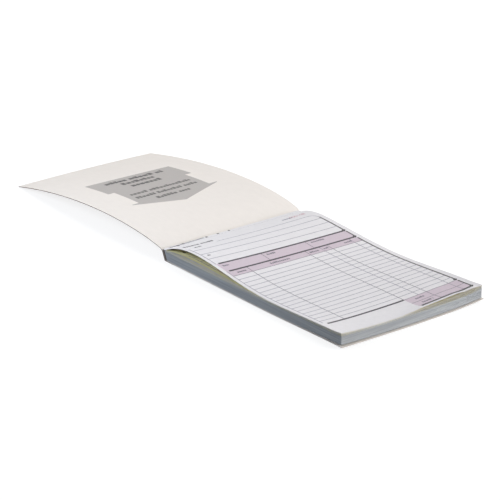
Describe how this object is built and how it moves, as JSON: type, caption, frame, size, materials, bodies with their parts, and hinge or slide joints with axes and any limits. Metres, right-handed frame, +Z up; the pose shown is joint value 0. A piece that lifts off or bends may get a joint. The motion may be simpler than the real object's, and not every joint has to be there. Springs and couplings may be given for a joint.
{
  "type": "duplicate invoice book",
  "caption": "Duplicate invoice book lying open: pad of white originals over yellow duplicates, glued at the head into a wrap-around card cover whose arched front flap is folded back.",
  "frame": {"origin": "middle of the underside of the back cover, where the pad rests on the table", "axes": "+X to the right across the page, +Y from the foot of the page to its bound head, +Z up"},
  "size_m": [0.1366, 0.4168, 0.0169],
  "materials": {
    "cover_card": "uncoated white-lined card",
    "white_paper": "smooth uncoated carbonless paper",
    "yellow_paper": "smooth uncoated carbonless paper",
    "pad_edges": "guillotined paper edges",
    "padding_glue": "dried padding glue"
  },
  "bodies": {
    "bound_pad": {"back_cover": "cover_card", "spine_glue": "padding_glue", "bound_stub": "pad_edges", "pressed_sets": "pad_edges"},
    "front_flap": {"front_flap": "cover_card"},
    "original_1": {"original_1": "white_paper"},
    "duplicate_1": {"duplicate_1": "yellow_paper"},
    "original_2": {"original_2": "white_paper"},
    "duplicate_2": {"duplicate_2": "yellow_paper"},
    "original_3": {"original_3": "white_paper"},
    "duplicate_3": {"duplicate_3": "yellow_paper"},
    "original_4": {"original_4": "white_paper"},
    "duplicate_4": {"duplicate_4": "yellow_paper"},
    "original_5": {"original_5": "white_paper"},
    "duplicate_5": {"duplicate_5": "yellow_paper"},
    "original_6": {"original_6": "white_paper"},
    "duplicate_6": {"duplicate_6": "yellow_paper"},
    "original_7": {"original_7": "white_paper"},
    "duplicate_7": {"duplicate_7": "yellow_paper"},
    "original_8": {"original_8": "white_paper"},
    "duplicate_8": {"duplicate_8": "yellow_paper"}
  },
  "joints": [
    {"name": "flap_fold", "type": "hinge", "parent": "bound_pad", "child": "front_flap", "pos_m": [0, 0.1066, 0.0085], "axis": [-1, 0, 0], "range_deg": [-148, 0]},
    {"name": "original_1_turn", "type": "hinge", "parent": "duplicate_1", "child": "original_1", "pos_m": [0, 0.102, 0.00866], "axis": [-1, 0, 0], "range_deg": [0, 78]},
    {"name": "duplicate_1_turn", "type": "hinge", "parent": "original_2", "child": "duplicate_1", "pos_m": [0, 0.102, 0.00856], "axis": [-1, 0, 0], "range_deg": [0, 30]},
    {"name": "original_2_turn", "type": "hinge", "parent": "duplicate_2", "child": "original_2", "pos_m": [0, 0.102, 0.00846], "axis": [-1, 0, 0], "range_deg": [0, 10]},
    {"name": "duplicate_2_turn", "type": "hinge", "parent": "bound_pad", "child": "duplicate_2", "pos_m": [0, 0.102, 0.00836], "axis": [-1, 0, 0], "range_deg": [0, 28]},
    {"name": "original_3_turn", "type": "hinge", "parent": "bound_pad", "child": "original_3", "pos_m": [0, 0.102, 0.00826], "axis": [-1, 0, 0], "range_deg": [0, 25.9]},
    {"name": "duplicate_3_turn", "type": "hinge", "parent": "bound_pad", "child": "duplicate_3", "pos_m": [0, 0.102, 0.00816], "axis": [-1, 0, 0], "range_deg": [0, 23.7]},
    {"name": "original_4_turn", "type": "hinge", "parent": "bound_pad", "child": "original_4", "pos_m": [0, 0.102, 0.00806], "axis": [-1, 0, 0], "range_deg": [0, 21.6]},
    {"name": "duplicate_4_turn", "type": "hinge", "parent": "bound_pad", "child": "duplicate_4", "pos_m": [0, 0.102, 0.00796], "axis": [-1, 0, 0], "range_deg": [0, 19.4]},
    {"name": "original_5_turn", "type": "hinge", "parent": "bound_pad", "child": "original_5", "pos_m": [0, 0.102, 0.00786], "axis": [-1, 0, 0], "range_deg": [0, 17.3]},
    {"name": "duplicate_5_turn", "type": "hinge", "parent": "bound_pad", "child": "duplicate_5", "pos_m": [0, 0.102, 0.00776], "axis": [-1, 0, 0], "range_deg": [0, 15.1]},
    {"name": "original_6_turn", "type": "hinge", "parent": "bound_pad", "child": "original_6", "pos_m": [0, 0.102, 0.00766], "axis": [-1, 0, 0], "range_deg": [0, 13]},
    {"name": "duplicate_6_turn", "type": "hinge", "parent": "bound_pad", "child": "duplicate_6", "pos_m": [0, 0.102, 0.00756], "axis": [-1, 0, 0], "range_deg": [0, 10.8]},
    {"name": "original_7_turn", "type": "hinge", "parent": "bound_pad", "child": "original_7", "pos_m": [0, 0.102, 0.00746], "axis": [-1, 0, 0], "range_deg": [0, 8.7]},
    {"name": "duplicate_7_turn", "type": "hinge", "parent": "bound_pad", "child": "duplicate_7", "pos_m": [0, 0.102, 0.00736], "axis": [-1, 0, 0], "range_deg": [0, 6.5]},
    {"name": "original_8_turn", "type": "hinge", "parent": "bound_pad", "child": "original_8", "pos_m": [0, 0.102, 0.00726], "axis": [-1, 0, 0], "range_deg": [0, 4.4]},
    {"name": "duplicate_8_turn", "type": "hinge", "parent": "bound_pad", "child": "duplicate_8", "pos_m": [0, 0.102, 0.00716], "axis": [-1, 0, 0], "range_deg": [0, 2.2]}
  ],
  "couplings": [
    {"joint": "original_3_turn", "follows": "duplicate_2_turn", "ratio": 0.9231},
    {"joint": "duplicate_3_turn", "follows": "duplicate_2_turn", "ratio": 0.8462},
    {"joint": "original_4_turn", "follows": "duplicate_2_turn", "ratio": 0.7692},
    {"joint": "duplicate_4_turn", "follows": "duplicate_2_turn", "ratio": 0.6923},
    {"joint": "original_5_turn", "follows": "duplicate_2_turn", "ratio": 0.6154},
    {"joint": "duplicate_5_turn", "follows": "duplicate_2_turn", "ratio": 0.5385},
    {"joint": "original_6_turn", "follows": "duplicate_2_turn", "ratio": 0.4615},
    {"joint": "duplicate_6_turn", "follows": "duplicate_2_turn", "ratio": 0.3846},
    {"joint": "original_7_turn", "follows": "duplicate_2_turn", "ratio": 0.3077},
    {"joint": "duplicate_7_turn", "follows": "duplicate_2_turn", "ratio": 0.2308},
    {"joint": "original_8_turn", "follows": "duplicate_2_turn", "ratio": 0.1538},
    {"joint": "duplicate_8_turn", "follows": "duplicate_2_turn", "ratio": 0.0769}
  ]
}
